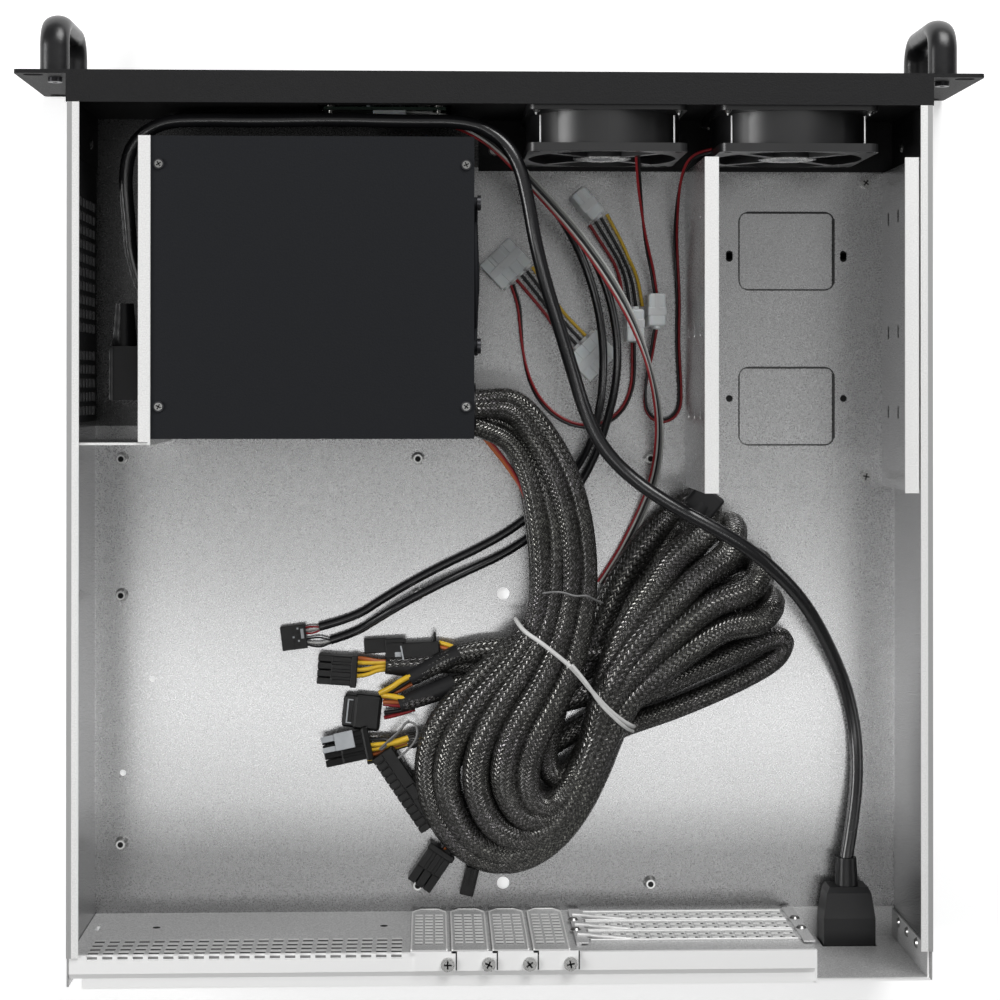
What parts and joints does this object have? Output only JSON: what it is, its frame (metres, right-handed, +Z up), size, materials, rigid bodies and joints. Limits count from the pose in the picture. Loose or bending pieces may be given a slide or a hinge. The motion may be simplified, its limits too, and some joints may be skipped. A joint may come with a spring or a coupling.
{
  "type": "rackmount server case",
  "caption": "Two-unit rack case with its lid off: steel tray, black panel with bow handles, front fans, power supply with its wiring, drive cage and slotted rear wall.",
  "frame": {"origin": "middle of the object's outline, handles included, on the underside of the floor", "axes": "front panel faces -Y, +X to the right seen from the front, +Z up"},
  "size_m": [0.4826, 0.485, 0.0898],
  "materials": {
    "galvanised_steel": "spangled zinc, satin",
    "black_paint": "fine textured powder coat",
    "handle_black": "satin coated casting",
    "fan_plastic": "satin moulded",
    "psu_paint": "matt powder coat",
    "zinc_screws": "bright zinc",
    "black_screws": "black oxide",
    "usb_shell": "nickel plated",
    "board_green": "solder mask",
    "spacer_steel": "turned",
    "black_plastic": "moulded",
    "lamp_plastic": "clear lens",
    "nylon": "natural nylon",
    "cord_jacket": "satin jacket",
    "lead_jacket": "thin insulated wires",
    "mesh_sleeve": "braided mesh sleeve",
    "tie_white": "coated wire tie"
  },
  "bodies": {
    "case": {"adapter_lead": "lead_jacket", "cage_screws": "zinc_screws", "chassis_tray": "galvanised_steel", "cover_screws": "zinc_screws", "drive_cage": "galvanised_steel", "fan_frame_left": "fan_plastic", "fan_frame_right": "fan_plastic", "fan_lead_left": "lead_jacket", "fan_lead_right": "lead_jacket", "fan_screws": "zinc_screws", "front_bulkhead": "black_paint", "front_panel": "black_paint", "handle_left": "handle_black", "handle_right": "handle_black", "harness_fan": "mesh_sleeve", "harness_leg": "mesh_sleeve", "harness_loop": "mesh_sleeve", "harness_plugs": "black_plastic", "io_board": "board_green", "io_plugs": "nylon", "io_spacers": "spacer_steel", "jumper_a": "lead_jacket", "jumper_b": "lead_jacket", "mains_cord": "cord_jacket", "nylon_plugs": "nylon", "panel_leds": "lamp_plastic", "panel_ribbon": "lead_jacket", "panel_screws": "zinc_screws", "psu_base": "psu_paint", "psu_board": "board_green", "psu_bracket": "galvanised_steel", "psu_cover": "psu_paint", "psu_fan_frame": "fan_plastic", "psu_fan_guard": "psu_paint", "psu_grommet": "black_plastic", "psu_inlet": "black_plastic", "psu_plug": "black_plastic", "psu_screws": "black_screws", "psu_switch": "black_plastic", "rear_inlet": "black_plastic", "rear_panel": "galvanised_steel", "riser_covers": "galvanised_steel", "riser_hook": "galvanised_steel", "riser_strip": "galvanised_steel", "rivets": "zinc_screws", "side_vent_plate": "black_paint", "slot_covers": "galvanised_steel", "standoffs": "zinc_screws", "tact_switches": "black_plastic", "usb_cable_a": "cord_jacket", "usb_cable_b": "cord_jacket", "usb_header_plug": "black_plastic", "usb_sockets": "usb_shell", "wire_ties": "tie_white"},
    "fan_left": {"fan_rotor_left": "fan_plastic"},
    "fan_right": {"fan_rotor_right": "fan_plastic"},
    "psu_fan": {"psu_fan_rotor": "fan_plastic"},
    "power": {"power_button": "black_plastic"},
    "reset": {"reset_button": "black_plastic"},
    "rocker": {"psu_rocker": "black_plastic"}
  },
  "joints": [
    {"name": "fan_left_spin", "type": "hinge", "parent": "case", "child": "fan_left", "pos_m": [-0.0528, -0.1875, 0.045], "axis": [0, 1, 0], "continuous": true},
    {"name": "fan_right_spin", "type": "hinge", "parent": "case", "child": "fan_right", "pos_m": [-0.149, -0.1875, 0.045], "axis": [0, 1, 0], "continuous": true},
    {"name": "psu_fan_spin", "type": "hinge", "parent": "case", "child": "psu_fan", "pos_m": [0.024, -0.111, 0.044], "axis": [1, 0, 0], "continuous": true},
    {"name": "power_press", "type": "slide", "parent": "case", "child": "power", "axis": [0, 1, 0], "range_m": [0, 0.0015], "stiffness_N_per_m": 400, "springref_m": -0.002},
    {"name": "reset_press", "type": "slide", "parent": "case", "child": "reset", "axis": [0, 1, 0], "range_m": [0, 0.0015], "stiffness_N_per_m": 300, "springref_m": -0.002},
    {"name": "rocker_tilt", "type": "hinge", "parent": "case", "child": "rocker", "pos_m": [0.1705, -0.0958, 0.044], "axis": [0, 1, 0], "range_deg": [0, 16]}
  ]
}
